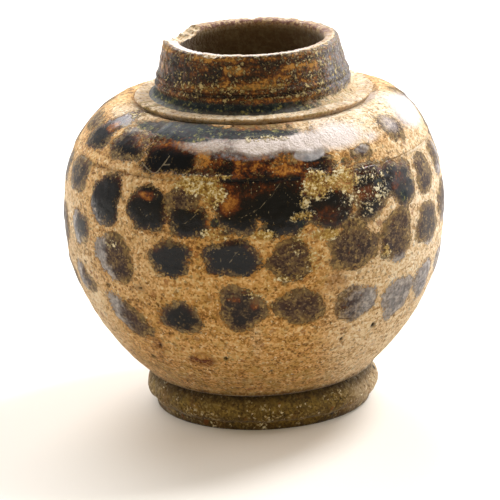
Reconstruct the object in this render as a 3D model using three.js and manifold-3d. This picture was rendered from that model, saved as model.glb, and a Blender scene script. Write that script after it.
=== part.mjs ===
// Pottery jarlet with a ledged, ridged neck, a chipped rim and rows of dark glaze dabs.
// Millimetres, +Z up. The origin is the centre of the foot's base, and -Y faces the photographed side.
// Azimuth 0 is the photographed front and azimuths grow towards the viewer's right.
import * as THREE from 'three';
import { mergeVertices } from 'three/addons/utils/BufferGeometryUtils.js';
import Module from 'manifold-3d';

// Driving dimensions of the body
const bellyRadius = 33;
const bellyHeight = 35.95;
const lowerFullness = 2.4;
const wallThickness = 3;
const floorThickness = 3.7;
const floorRadius = 18;
const innerFullness = 2.4;

// Driving dimensions of the foot and of the groove over it
const footRadius = 20.4;
const footHeight = 6.25;
const footBevel = 1.55;
const footWidestHeight = 2.85;
const grooveDepth = 1.8;
const lipRise = 1.2;

// Driving dimensions of the shoulder, with the luted seam that shows as a ring line
const seamHeight = 47.55;
const seamChamfer = 0.35;
const shoulderRise = 7.2;
const shoulderRadius = 21.3;
const mouldGrooveDepth = 0.4;

// Driving dimensions of the ledge, the neck and the rim
const ledgeRadius = 20.6;
const ledgeThickness = 1.35;
const ledgeRound = 0.68;
const ledgeEdgeRise = 0.95;
const neckRootRadius = 17.1;
const rimRadius = 14.95;
const rimThickness = 2.4;
const neckBore = 14;
const neckHeight = 10.7;
const rimRound = 0.5;
const rimBevel = 0.9;
const rootFlare = 0.6;
const lowRidgeRise = 2.15;
const ridgePitch = 1.25;
const ridgeSwell = 0.25;
const ridgeHalfWidth = 0.55;

// Driving dimensions of the rim chip
const chipAzimuth = -115;
const chipLength = 10.5;
const chipReach = 7;
const chipDepth = 1.75;

// Driving dimensions of the glaze
const glazeGap = 0.2;
const dabWidth = 8;
const dabHeight = 7;
const dabSwell = 0.4;
const coatThickness = 0.3;
const coatBelowRim = 1;
const poolWidth = 1.3;
const runTopMargin = 1.2;
const runTipDrop = 8.5;
const runClimb = 2.5;
const runSwell = 0.35;
const lobeHalfAngle = 8;
const runEndAngle = 10;
const runEndDrop = 6;

// Places of the four rows of dabs, measured from the luted seam
const topRowRise = 3.5;
const secondRowDrop = 3.9;
const thirdRowDrop = 12.6;
const lowestRowDrop = 22.8;

// Fineness of the turned forms and of the glaze outlines
const turnSteps = 48;
const curveSteps = 8;
const turnedEdgeSteps = 3;
const dabSides = 12;
const dabCore = 0.55;
const runColumnStep = 3;
const runRows = 6;

// Sizes that follow from the driving dimensions
const lipRadius = footRadius;
const grooveRadius = footRadius - grooveDepth;
const lipHeight = footHeight + lipRise;
const floorHeight = footHeight + floorThickness;
const innerBelly = bellyRadius - wallThickness;
const shoulderHeight = seamHeight + shoulderRise;
const neckSeat = shoulderHeight - mouldGrooveDepth;
const shoulderInside = neckSeat - wallThickness;
const ledgeTop = neckSeat + ledgeThickness;
const rimHeight = neckSeat + neckHeight;
const rimBore = rimRadius - rimThickness;
const ridgeRises = [lowRidgeRise, lowRidgeRise + ridgePitch];

// Dabs that the photograph shows: azimuth in degrees, rise over the row's level as a share of the common dab
// height, and width and height as shares of the common dab's
const dabRows = [
  {
    name: 'dab_a',
    level: seamHeight + topRowRise,
    seen: [
      [-84, 0, 0.83, 0.37], [-66, 0.03, 1, 0.37], [-49, 0, 0.85, 0.46],
      [58, -0.03, 0.7, 0.4], [79, -0.03, 0.75, 0.4],
    ],
  },
  {
    name: 'dab_b',
    level: seamHeight - secondRowDrop,
    seen: [
      [-86, 0.06, 0.75, 0.77], [-70, 0.14, 0.75, 0.77], [-51, -0.13, 0.85, 1.11],
      [48.5, -0.01, 0.79, 0.8], [63.5, -0.03, 0.71, 0.83], [79, -0.03, 0.73, 0.8],
    ],
  },
  {
    name: 'dab_c',
    level: seamHeight - thirdRowDrop,
    pitch: 18.1,
    seen: [
      [-65.5, 0.17, 0.73, 0.89], [-46.7, -0.24, 1.15, 1.04], [-26.2, -0.04, 0.99, 0.91],
      [-8, 0.07, 1.09, 0.91], [8.9, -0.03, 1.03, 1], [28.4, 0, 1.14, 1.06],
      [45, 0.04, 0.86, 1.2], [61, 0.01, 0.9, 1.06],
    ],
  },
  {
    name: 'dab_d',
    level: seamHeight - lowestRowDrop,
    pitch: 17.9,
    seen: [
      [-66, 0.31, 0.81, 0.86], [-44.7, -0.36, 1.33, 0.86], [-23.4, -0.07, 1.06, 0.8],
      [-5.2, 0.19, 0.93, 1.03], [11.9, 0.17, 1.05, 0.97], [29.7, 0.01, 0.93, 0.8],
      [47.3, -0.13, 0.9, 0.89], [61.5, -0.13, 0.9, 0.97],
    ],
  },
];

// Glaze runs, where the two upper rows flowed together: azimuths of the ends and of the lobes' tips
const glazeRuns = [
  { name: 'glaze_run_front', from: -40, to: 41, lobes: [-34, -20, -4.5, 8, 22, 35.5] },
  { name: 'glaze_run_back', from: 90, to: 266, lobes: evenSpread(98, 258, 11) },
];

// Azimuths evenly spread between two, both ends included
function evenSpread(first, last, count) {
  return Array.from({ length: count }, (_, index) => first + ((last - first) * index) / (count - 1));
}

// Materials, in the colours of the photograph
const clay = (color) => new THREE.MeshStandardMaterial({ color, roughness: 0.85, metalness: 0 });
const glaze = (color) => new THREE.MeshStandardMaterial({ color, roughness: 0.25, metalness: 0 });

// Outer radius of the wall at a height: a full lower curve and a quarter ellipse over the belly
function wallRadius(height) {
  if (height > bellyHeight) {
    const rise = Math.min(1, (height - bellyHeight) / (shoulderHeight - bellyHeight));
    return shoulderRadius + (bellyRadius - shoulderRadius) * Math.sqrt(1 - rise * rise);
  }
  const drop = Math.min(1, (bellyHeight - height) / (bellyHeight - lipHeight));
  return bellyRadius - (bellyRadius - lipRadius) * drop ** lowerFullness;
}

// Inner radius of the wall at a height, down to the floor and up to the underside of the shoulder
function boreRadius(height) {
  if (height > bellyHeight) {
    const rise = Math.min(1, (height - bellyHeight) / (shoulderInside - bellyHeight));
    return neckBore + (innerBelly - neckBore) * (1 - rise ** innerFullness) ** (1 / innerFullness);
  }
  const drop = Math.min(1, (bellyHeight - height) / (bellyHeight - floorHeight));
  return innerBelly - (innerBelly - floorRadius) * drop ** innerFullness;
}

// Points of a wall curve between two heights, evenly spread, without its two ends
function wallCurve(radiusAt, fromHeight, toHeight, steps) {
  const points = [];
  for (let step = 1; step < steps; step += 1) {
    const height = fromHeight + ((toHeight - fromHeight) * step) / steps;
    points.push([radiusAt(height), height]);
  }
  return points;
}

// Points of a quarter ellipse between two points, without its two ends. It leaves the first one upright, or
// sideways along the radius.
function quarterTurn([fromRadius, fromHeight], [toRadius, toHeight], steps, sideways) {
  const points = [];
  for (let step = 1; step < steps; step += 1) {
    const angle = (Math.PI / 2) * (step / steps);
    const soon = Math.sin(angle);
    const late = 1 - Math.cos(angle);
    const [across, up] = sideways ? [soon, late] : [late, soon];
    points.push([fromRadius + (toRadius - fromRadius) * across, fromHeight + (toHeight - fromHeight) * up]);
  }
  return points;
}

// Solid turned about +Z from a profile of [radius, height] points, listed with the material on their left
function turned(profile) {
  const points = profile.map(([radius, height]) => new THREE.Vector2(radius, height));
  const geometry = new THREE.LatheGeometry(points, turnSteps);
  geometry.rotateX(Math.PI / 2);
  return geometry;
}

// Point at an azimuth and a height on the wall, lifted along the wall's normal
function onWall(azimuth, height, lift) {
  const delta = 0.05;
  const slope = (wallRadius(height + delta) - wallRadius(height - delta)) / (2 * delta);
  const length = Math.hypot(1, slope);
  const radius = wallRadius(height) + lift / length;
  const angle = THREE.MathUtils.degToRad(azimuth);
  return [radius * Math.sin(angle), -radius * Math.cos(angle), height - (lift * slope) / length];
}

// Closed geometry from vertices and triangles
function closedForm(vertices, triangles) {
  const geometry = new THREE.BufferGeometry();
  geometry.setAttribute('position', new THREE.Float32BufferAttribute(vertices.flat(), 3));
  geometry.setIndex(triangles.flat());
  geometry.computeVertexNormals();
  return geometry;
}

function named(name, geometry, material) {
  const mesh = new THREE.Mesh(geometry, material);
  mesh.name = name;
  return mesh;
}

// Turned disc with a bevelled, rounded edge, whose flat top is the floor of the groove
function makeFoot() {
  const widest = [footRadius, footWidestHeight];
  const groove = [grooveRadius, footHeight];
  const profile = [
    [0, 0],
    [footRadius - footBevel, 0],
    widest,
    ...quarterTurn(widest, groove, turnedEdgeSteps),
    groove,
    [0, footHeight],
  ];
  return named('foot', turned(profile), clay('#5d4b32'));
}

// Bowl from the foot's joint to the luted seam, with a lip that overhangs the groove
function makeBowl() {
  const groove = [grooveRadius, footHeight];
  const lip = [lipRadius, lipHeight];
  const profile = [
    [0, footHeight],
    groove,
    ...quarterTurn(groove, lip, turnedEdgeSteps, true),
    lip,
    ...wallCurve(wallRadius, lipHeight, bellyHeight, curveSteps + 2),
    [bellyRadius, bellyHeight],
    ...wallCurve(wallRadius, bellyHeight, seamHeight - seamChamfer, curveSteps / 2),
    [wallRadius(seamHeight - seamChamfer), seamHeight - seamChamfer],
    [wallRadius(seamHeight) - seamChamfer, seamHeight],
    [boreRadius(seamHeight), seamHeight],
    ...wallCurve(boreRadius, seamHeight, bellyHeight, curveSteps / 2),
    [innerBelly, bellyHeight],
    ...wallCurve(boreRadius, bellyHeight, floorHeight, curveSteps),
    [floorRadius, floorHeight],
    [0, floorHeight],
  ];
  return named('lower_bowl', turned(profile), clay('#c39a63'));
}

// Points of an arch curve from a height up to its crown, evenly spread round the arch, without its two ends
function archCurve(radiusAt, fromHeight, crownHeight, steps) {
  const points = [];
  const start = Math.asin((fromHeight - bellyHeight) / (crownHeight - bellyHeight));
  for (let step = 1; step < steps; step += 1) {
    const angle = start + ((Math.PI / 2 - start) * step) / steps;
    const height = bellyHeight + (crownHeight - bellyHeight) * Math.sin(angle);
    points.push([radiusAt(height), height]);
  }
  return points;
}

// Shoulder from the luted seam to the flat land that carries the neck
function makeShoulder() {
  const profile = [
    [boreRadius(seamHeight), seamHeight],
    [wallRadius(seamHeight) - seamChamfer, seamHeight],
    [wallRadius(seamHeight + seamChamfer), seamHeight + seamChamfer],
    ...archCurve(wallRadius, seamHeight + seamChamfer, shoulderHeight, curveSteps - 1),
    [shoulderRadius, shoulderHeight],
    [shoulderRadius - 2 * mouldGrooveDepth, neckSeat],
    [neckBore, neckSeat],
    [neckBore, shoulderInside],
    ...archCurve(boreRadius, seamHeight, shoulderInside, curveSteps - 2).reverse(),
    [boreRadius(seamHeight), seamHeight],
  ];
  return named('shoulder', turned(profile), clay('#c9a26c'));
}

// Outside of the neck: a cone with wheel ridges, lifted sideways off the clay by a given distance
function neckOutside(lift, topHeight) {
  const coneRadius = (height) => {
    const share = (height - ledgeTop) / (rimHeight - ledgeTop);
    return neckRootRadius + (rimRadius - neckRootRadius) * share;
  };
  const points = [[neckRootRadius + lift, ledgeTop + rootFlare]];
  for (const rise of ridgeRises) {
    const height = ledgeTop + rise;
    points.push([coneRadius(height - ridgeHalfWidth) + lift, height - ridgeHalfWidth]);
    points.push([coneRadius(height) + ridgeSwell + lift, height]);
    points.push([coneRadius(height + ridgeHalfWidth) + lift, height + ridgeHalfWidth]);
  }
  points.push([coneRadius(topHeight) + lift, topHeight]);
  return points;
}

// Neck with its ledge: the flat underside sits on the shoulder, and the ledge's lip hangs over the groove
function makeNeck() {
  const below = [ledgeRadius - ledgeRound, neckSeat];
  const edge = [ledgeRadius, neckSeat + ledgeEdgeRise];
  const above = [ledgeRadius - ledgeRound, ledgeTop];
  const profile = [
    [neckBore, neckSeat],
    below,
    ...quarterTurn(below, edge, turnedEdgeSteps - 1, true),
    edge,
    ...quarterTurn(edge, above, turnedEdgeSteps - 1),
    above,
    [neckRootRadius + rootFlare, ledgeTop],
    ...neckOutside(0, rimHeight - rimRound),
    [rimRadius - rimRound, rimHeight],
    [rimBore + rimBevel, rimHeight],
    [rimBore, rimHeight - rimBevel],
    [neckBore, neckSeat],
  ];
  return named('neck', chipped(turned(profile)), clay('#8a6a45'));
}

// Glaze coat round the neck, which stops short of the worn rim and pools on the ledge
function makeNeckCoat() {
  const low = ledgeTop + glazeGap;
  const top = rimHeight - coatBelowRim;
  const poolEdge = [neckRootRadius + rootFlare + poolWidth, low];
  const outside = neckOutside(glazeGap + coatThickness, top);
  const profile = [
    poolEdge,
    ...quarterTurn(poolEdge, outside[0], turnedEdgeSteps),
    ...outside,
    ...neckOutside(glazeGap, top).reverse(),
    [neckRootRadius + rootFlare + glazeGap, low],
    poolEdge,
  ];
  return named('neck_glaze', chipped(turned(profile)), glaze('#33241a'));
}

// Solid for joining and cutting, from a closed geometry
function toSolid(geometry) {
  const bare = geometry.clone();
  bare.deleteAttribute('normal');
  bare.deleteAttribute('uv');
  const welded = mergeVertices(bare, 1e-4);
  const vertProperties = welded.attributes.position.array;
  const triVerts = new Uint32Array(welded.index.array);
  return new wasm.Manifold(new wasm.Mesh({ numProp: 3, vertProperties, triVerts }));
}

function fromSolid(solid) {
  const mesh = solid.getMesh();
  const geometry = new THREE.BufferGeometry();
  geometry.setAttribute('position', new THREE.BufferAttribute(mesh.vertProperties, 3));
  geometry.setIndex(new THREE.BufferAttribute(mesh.triVerts, 1));
  geometry.computeVertexNormals();
  return geometry;
}

// Takes the shell-shaped chip out of the rim: a flattened ball, centred as high over the rim as it cuts
// below. Its half height is twice that rise, so at the rim it has narrowed by the cosine of 30 degrees.
function chipped(geometry) {
  const spread = Math.cos(Math.PI / 6);
  const ball = new THREE.SphereGeometry(1, 20, 14);
  ball.scale(chipLength / 2 / spread, chipReach / 2 / spread, 2 * chipDepth);
  ball.translate(0, -(rimRadius - rimThickness / 2), rimHeight + chipDepth);
  ball.rotateZ(THREE.MathUtils.degToRad(chipAzimuth));
  return fromSolid(toSolid(geometry).subtract(toSolid(ball)));
}

// Glaze dab: a low lens on the wall with a hand-made, slightly uneven outline
function makeDab(name, azimuth, height, width, tall) {
  const degreesPerMm = THREE.MathUtils.radToDeg(1 / wallRadius(height));
  const spot = (share, side, lift) => {
    const angle = (2 * Math.PI * side) / dabSides;
    const uneven = 1 + 0.07 * Math.sin(2 * angle + azimuth) + 0.05 * Math.sin(3 * angle + 2 * azimuth);
    const across = (width / 2) * Math.cos(angle) * uneven * share;
    const along = (tall / 2) * Math.sin(angle) * uneven * share;
    return onWall(azimuth + across * degreesPerMm, height + along, lift);
  };
  const ring = (share, lift) => Array.from({ length: dabSides }, (_, side) => spot(share, side, lift));
  const vertices = [
    ...ring(1, glazeGap),
    ...ring(dabCore, glazeGap + 0.8 * dabSwell),
    ...ring(dabCore, glazeGap),
    spot(0, 0, glazeGap + dabSwell),
    spot(0, 0, glazeGap),
  ];
  const triangles = [];
  for (let side = 0; side < dabSides; side += 1) {
    const next = (side + 1) % dabSides;
    const front = [dabSides + side, dabSides + next];
    const back = [2 * dabSides + side, 2 * dabSides + next];
    triangles.push([side, next, front[1]], [side, front[1], front[0]], [front[0], front[1], 3 * dabSides]);
    triangles.push([next, side, back[0]], [next, back[0], back[1]], [back[1], back[0], 3 * dabSides + 1]);
  }
  return named(name, closedForm(vertices, triangles), glaze('#241a18'));
}

// A row's dabs: those that the photograph shows, and the unseen ones at the row's own pitch round the back
function makeDabRow({ name, level, seen, pitch }) {
  const dabs = [...seen];
  if (pitch) {
    const first = seen[0][0] + 360;
    const [last, ...shares] = seen[seen.length - 1];
    const gaps = Math.round((first - last) / pitch);
    for (let step = 1; step < gaps; step += 1) {
      dabs.push([last + ((first - last) * step) / gaps, ...shares]);
    }
  }
  return dabs.map(([azimuth, rise, wide, tall], index) => {
    const dabName = `${name}_${String(index + 1).padStart(2, '0')}`;
    return makeDab(dabName, azimuth, level + rise * dabHeight, wide * dabWidth, tall * dabHeight);
  });
}

// Glaze run: a thin skin over the shoulder and the seam, with rounded upper corners and a lobed lower edge
function makeGlazeRun({ name, from, to, lobes }) {
  const columns = Math.round((to - from) / runColumnStep);
  const archAngle = (height) => Math.asin((height - bellyHeight) / (shoulderHeight - bellyHeight));
  const edgeHeight = (azimuth) => {
    const nearest = Math.min(...lobes.map((lobe) => Math.abs(azimuth - lobe)));
    const share = Math.min(1, nearest / lobeHalfAngle);
    return seamHeight - runTipDrop + runClimb * (1 - Math.sqrt(1 - share * share));
  };
  const topHeight = (azimuth) => {
    const corner = 1 - Math.min(1, Math.min(azimuth - from, to - azimuth) / runEndAngle);
    return shoulderHeight - runTopMargin - runEndDrop * (1 - Math.sqrt(1 - corner * corner));
  };
  const spot = (column, row, lift) => {
    const azimuth = from + ((to - from) * column) / columns;
    const low = archAngle(edgeHeight(azimuth));
    const high = archAngle(topHeight(azimuth));
    const angle = low + ((high - low) * row) / runRows;
    return onWall(azimuth, bellyHeight + (shoulderHeight - bellyHeight) * Math.sin(angle), lift);
  };
  const vertices = [];
  const front = [];
  const back = [];
  for (let column = 0; column <= columns; column += 1) {
    front.push([]);
    back.push([]);
    for (let row = 0; row <= runRows; row += 1) {
      const onEdge = column === 0 || column === columns || row === 0 || row === runRows;
      back[column].push(vertices.length);
      front[column].push(onEdge ? vertices.length : vertices.length + 1);
      vertices.push(spot(column, row, glazeGap));
      if (!onEdge) vertices.push(spot(column, row, glazeGap + runSwell));
    }
  }
  const triangles = [];
  for (let column = 0; column < columns; column += 1) {
    for (let row = 0; row < runRows; row += 1) {
      const corners = (grid) => [
        grid[column][row], grid[column + 1][row], grid[column + 1][row + 1], grid[column][row + 1],
      ];
      const [a, b, c, d] = corners(front);
      const [e, f, g, h] = corners(back);
      triangles.push([a, b, c], [a, c, d], [g, f, e], [h, g, e]);
    }
  }
  return named(name, closedForm(vertices, triangles), glaze('#3a2416'));
}

const wasm = await Module();
wasm.setup();

const jarlet = new THREE.Group();
jarlet.name = 'pottery_jarlet';
jarlet.add(makeFoot(), makeBowl(), makeShoulder(), makeNeck(), makeNeckCoat());
for (const run of glazeRuns) jarlet.add(makeGlazeRun(run));
for (const row of dabRows) jarlet.add(...makeDabRow(row));

export default jarlet;
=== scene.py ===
"""Pottery jarlet: hand-thrown clay with iron-brown glaze dabs, a ledged neck and a chipped rim.

Sizes are in millimetres until a mesh is made. Azimuth 0 is the photographed front, on -Y, and azimuths grow
towards the viewer's right. +Z is up and the foot stands on z = 0.
"""

import math

import bmesh
import bpy
import numpy as np
from mathutils import Matrix, Vector


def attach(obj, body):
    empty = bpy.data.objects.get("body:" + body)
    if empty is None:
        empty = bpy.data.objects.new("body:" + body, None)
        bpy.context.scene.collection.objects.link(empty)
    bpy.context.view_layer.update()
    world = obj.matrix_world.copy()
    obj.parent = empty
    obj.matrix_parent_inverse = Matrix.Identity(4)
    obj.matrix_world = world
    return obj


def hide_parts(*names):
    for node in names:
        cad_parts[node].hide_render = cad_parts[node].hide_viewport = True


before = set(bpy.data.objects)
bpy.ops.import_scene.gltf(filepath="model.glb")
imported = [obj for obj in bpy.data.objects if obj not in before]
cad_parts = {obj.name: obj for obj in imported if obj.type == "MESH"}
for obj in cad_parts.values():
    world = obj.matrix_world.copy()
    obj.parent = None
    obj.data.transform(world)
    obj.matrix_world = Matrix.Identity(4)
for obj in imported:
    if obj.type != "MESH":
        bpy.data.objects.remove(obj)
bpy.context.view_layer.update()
scene = bpy.context.scene

MM = 0.001

# Body
BELLY_RADIUS = 33
BELLY_HEIGHT = 35.95
LOWER_FULLNESS = 2.4
SHOULDER_HEIGHT = 54.75
SHOULDER_RADIUS = 21.3
LIP_RADIUS = 20.4
LIP_HEIGHT = 7.45
SEAM_HEIGHT = 47.55
SEAM_DEPTH = 0.22
SEAM_SWELL = 0.14

# Inside of the body
INNER_BELLY = 30
NECK_BORE = 14
INNER_TOP = 51.35
INNER_FLOOR = 9.95
FLOOR_RADIUS = 18
INNER_FULLNESS = 2.4

# Foot
FOOT_RADIUS = 20.4
FOOT_HEIGHT = 6.25
FOOT_BASE_RADIUS = 18.85
FOOT_WIDEST = 2.85
GROOVE_RADIUS = 18.6

# Ledge, neck and rim
NECK_SEAT = 54.35
LEDGE_RADIUS = 20.6
LEDGE_TOP = 55.7
NECK_ROOT = 17.1
POOL_RADIUS = 17.6
RIM_RADIUS = 14.95
RIM_HEIGHT = 65.05
RIM_BORE = 12.55
LIP_ROUND = 0.3
RIM_ROUND = 0.55
RIM_BEVEL_WIDTH = 0.75
RIM_BEVEL_DEPTH = 0.9
RIDGE_HEIGHTS = [57.85, 59.1]
RIDGE_SWELL = 0.25
RIDGE_HALF_WIDTH = 0.42
RIDGE_GROOVE = 0.16

# Chip in the rim
CHIP_AZIMUTH = -115
CHIP_LENGTH = 10.5
CHIP_REACH = 7
CHIP_DEPTH = 1.75

# Sideways lean of the thrown form: heights, and how far the axis stands off to the viewer's right
LEAN_HEIGHTS = [0, 5.45, 9.45, 46.45, 54.45, 65.45]
LEAN_OFFSETS = [-0.14, -0.2, -0.45, -0.45, 0.35, 0.23]

# Glaze relief in the mesh, and fine relief in the material
DAB_SWELL = 0.12
BUMP_DEPTH = 0.24

# Distances in mm that stand for a place well outside every dab, or well away from every drawn line
OUTSIDE_ALL = -6.0
FAR_FROM_LINES = 3.0

# How far the soft edge of a painted patch reaches past its given size
PATCH_MARGIN = 1.25

# Heights that the noise covers, from a little under the foot
NOISE_BELOW = 5
NOISE_HEIGHT = 80

# Fineness of the meshes: columns round the jar, and rows up its walls
SKIN_COLUMNS = 600
SHOULDER_COLUMNS = 800
NECK_COLUMNS = 700
BOWL_ROWS = 122
SHOULDER_ROWS = 66
CONE_ROWS = 62

# Rings on the flat faces: round the small one at the axis, and half way out
POLE_RADIUS = 0.5
MIDWAY_RADIUS = 9

chance = np.random.default_rng(7)


# Small numeric helpers


def smooth(value, low, high):
    """0 at low, 1 at high and an even turn between them."""
    share = np.clip((value - low) / (high - low), 0, 1)
    return share * share * (3 - 2 * share)


def bell(offset, width):
    """1 at no offset, and a soft fall to 0 over that width."""
    return np.exp(-((offset / width) ** 2))


def facing(azimuth, towards, low, high):
    """1 on the side that faces an azimuth and 0 away from it, with low and high as cosines."""
    return smooth(np.cos(np.radians(azimuth - towards)), low, high)


def wrapped(angle):
    """The same angle between -180 and 180 degrees."""
    return (angle + 180) % 360 - 180


def noise(at, wide, tall, seed):
    """Smooth noise from -1 to 1, closed round the jar, with cells in mm as measured at the belly."""
    azimuth, height = at
    columns = max(3, round(2 * math.pi * BELLY_RADIUS / wide))
    rows = int(NOISE_HEIGHT / tall) + 4
    values = np.random.default_rng(seed).uniform(-1, 1, (rows, columns))
    across = (azimuth % 360) / 360 * columns
    up = (height + NOISE_BELOW) / tall
    column = np.floor(across).astype(int)
    row = np.floor(up).astype(int)
    right = smooth(across - column, 0, 1)
    above = smooth(up - row, 0, 1)
    row = np.clip(row, 0, rows - 2)
    column = column % columns
    following = (column + 1) % columns
    low = values[row, column] * (1 - right) + values[row, following] * right
    high = values[row + 1, column] * (1 - right) + values[row + 1, following] * right
    return low * (1 - above) + high * above


def layered(at, *layers):
    """Sum of noises, each with its strength, cell size and seed."""
    return sum(strength * noise(at, *layer) for strength, *layer in layers)


# Form of the wall


def wall_radius(height):
    """Outer radius of the body at a height."""
    rise = np.clip((height - BELLY_HEIGHT) / (SHOULDER_HEIGHT - BELLY_HEIGHT), 0, 1)
    upper = SHOULDER_RADIUS + (BELLY_RADIUS - SHOULDER_RADIUS) * np.sqrt(1 - rise * rise)
    drop = np.clip((BELLY_HEIGHT - height) / (BELLY_HEIGHT - LIP_HEIGHT), 0, 1)
    lower = BELLY_RADIUS - (BELLY_RADIUS - LIP_RADIUS) * drop**LOWER_FULLNESS
    return np.where(height > BELLY_HEIGHT, upper, lower)


def bore_radius(height):
    """Inner radius of the body at a height."""
    rise = np.clip((height - BELLY_HEIGHT) / (INNER_TOP - BELLY_HEIGHT), 0, 1)
    arch = (1 - rise**INNER_FULLNESS) ** (1 / INNER_FULLNESS)
    upper = NECK_BORE + (INNER_BELLY - NECK_BORE) * arch
    drop = np.clip((BELLY_HEIGHT - height) / (BELLY_HEIGHT - INNER_FLOOR), 0, 1)
    lower = INNER_BELLY - (INNER_BELLY - FLOOR_RADIUS) * drop**INNER_FULLNESS
    return np.where(height > BELLY_HEIGHT, upper, lower)


# Marks on the surface

# Glaze dabs: azimuth, height of the centre, width, height, tilt in degrees, squareness and wear from 0 to 1
DABS_SEEN = {
    "top": [
        (-84, 51.95, 9, 2.8, 0, 2, 0.9), (-67.1, 51.8, 8.6, 4.6, 18, 2.2, 0.1),
        (-48.6, 51.4, 8.4, 4.4, 0, 2.2, 0.25), (-28.6, 50.8, 12, 5, 0, 2.6, 0),
        (-6.2, 49.85, 8.3, 3.8, 0, 2, 0.4), (17.9, 49.65, 6.4, 2.2, 0, 2, 0.5),
        (38, 49.85, 4.4, 2, 0, 2, 1), (57.7, 51.6, 5.4, 4, -20, 2, 1), (75, 52.6, 10, 2.8, 6, 2, 1),
    ],
    "second": [
        (-86, 44.25, 6, 6, 0, 2.2, 0.5), (-69.1, 45, 8, 6, 0, 2.3, 0.55),
        (-50.4, 42.9, 7.2, 8.5, 0, 3, 0.02), (-33.3, 42.65, 7.2, 7.6, -12, 2.3, 0.05),
        (-19.6, 41.3, 7.8, 5.2, 0, 2.3, 0.1), (-22, 44.6, 6.6, 4, 0, 2, 0.7),
        (-4.4, 41.55, 6.5, 4.8, 0, 2, 0.3), (7.5, 42.25, 7, 7, 0, 2, 0.1),
        (22.1, 41.05, 7.1, 4, 0, 2, 0.35), (36.2, 41.45, 6, 5, 0, 2, 0.35),
        (29.5, 39.4, 5, 2.4, 0, 2, 0.9), (50.8, 43.5, 7, 8.2, 0, 2.5, 0.35),
        (64.6, 43.3, 6.8, 6.4, 0, 2.3, 0.75), (79.5, 43.9, 6.4, 6, 0, 2.2, 0.8),
    ],
    "third": [
        (-63.7, 36.55, 6.2, 6.4, 0, 2, 0.35), (-46.3, 33.35, 9.6, 7.8, 0, 2.1, 0.85),
        (-25.5, 34.7, 8, 6.4, 0, 2.1, 0.12), (-7, 35.15, 9, 6.3, 0, 2.9, 0),
        (9.8, 34.3, 7.7, 6.8, 0, 2, 1), (29.6, 34.8, 9.6, 7.6, 10, 2.1, 0.75),
        (46.2, 35.25, 7.4, 8.9, 8, 2.5, 0.8), (63, 34.8, 7.8, 8, 12, 2.1, 0.6),
    ],
    "lowest": [
        (-64.8, 27.45, 6.2, 5.4, -25, 2, 0.8), (-44.8, 22.4, 10.2, 5.6, -30, 1.9, 0.85),
        (-24.2, 24.1, 8.6, 5.8, -10, 1.7, 0.25), (-5.1, 26.2, 8.4, 7.8, 0, 2.1, 0.5),
        (12.6, 25.9, 8.8, 7.2, -10, 1.5, 0.9), (31.4, 24.9, 8.2, 6.2, 14, 2.1, 0.8),
        (48.6, 23.8, 7.8, 6.4, 20, 2.1, 0.85), (63, 24.8, 6, 7, 16, 2, 0.8),
    ],
}
ROW_PITCH = {"top": 21, "second": 15, "third": 18.1, "lowest": 17.9}

# Where dabs have run together: azimuth, height, half width in degrees, half height in mm
FLOOD = [
    (-3, 50.6, 17.5, 3.2), (-15, 53.2, 32, 1.6), (6, 52.2, 14, 2), (-4, 45.9, 9.5, 5.5),
    (9, 45.2, 11, 6.2), (19, 48.8, 9, 2.4), (18.5, 50.9, 6, 1.3), (42, 44.4, 8, 2.6), (23, 42.2, 8, 3.4),
    (38, 45.2, 7.5, 3.2),
]
BACK_FLOOD = [(azimuth, 46.95, 13, 5) for azimuth in range(100, 262, 12)]

# Soft patches, as above and with a strength, in the order of the lists below: the glaze made thinner,
# the glaze made darker, blue-black pooling, a painted highlight on the glaze, a painted reflection on the
# glaze, paler clay that is partly painted light on the lit sides and top, and stains on the clay.
THIN = [
    (-17.6, 50.9, 2.8, 1.7, 0.95), (10.5, 49.6, 7.5, 1.7, 0.45), (-64.5, 52.8, 3.8, 0.9, 1),
    (-47, 52.2, 5, 1.2, 0.45), (-29, 51.9, 9, 1.1, 0.5), (-7.3, 43.9, 3.4, 2.4, 0.72),
    (-33.3, 44.8, 3.4, 0.9, 1.2), (-12, 46.2, 4, 1.6, 0.6), (-3, 50.2, 13, 1.3, 0.25),
    (22, 41.3, 5, 1.8, 0.35), (49.5, 44, 4.5, 2, 0.5), (2, 45.6, 7, 1.2, 0.2), (36, 43.6, 6, 1.4, 0.4),
    (-6.9, 28.2, 2.4, 1, 0.65), (-1.2, 27.1, 1.6, 1.3, 0.8), (-12.3, 41, 2.4, 1.1, 0.6),
    (17.5, 46.4, 3, 2.4, 0.55), (112, 48.6, 10, 1.4, 0.35), (158, 49.8, 14, 1.2, 0.4),
    (196, 46.8, 9, 1.5, 0.35), (234, 49.4, 12, 1.4, 0.4),
]
DARK = [
    (-4.5, 41.4, 7, 2, 0.6), (3, 43.6, 3, 2.6, 0.8), (8.5, 43, 6.5, 3.8, 0.9), (-9, 49.6, 3, 1.1, 0.7),
    (2, 47.6, 14, 0.4, 0.4), (-30, 50.2, 8, 1.4, 0.5), (21.6, 48.7, 3, 0.7, 0.8), (20, 50.2, 5, 0.5, 1),
    (24, 43.6, 2, 1.2, 0.5), (46, 45.4, 3, 1.6, 0.7), (50.5, 41.9, 2.4, 1.6, 0.8), (36, 45.6, 4, 1, 0.6),
    (-31.5, 45.5, 4.4, 1.2, 0.8), (138, 45.4, 6, 2, 0.7), (176, 44.8, 8, 1.6, 0.6),
    (216, 45.6, 6, 2, 0.7), (252, 46, 5, 2, 0.7),
]
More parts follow.
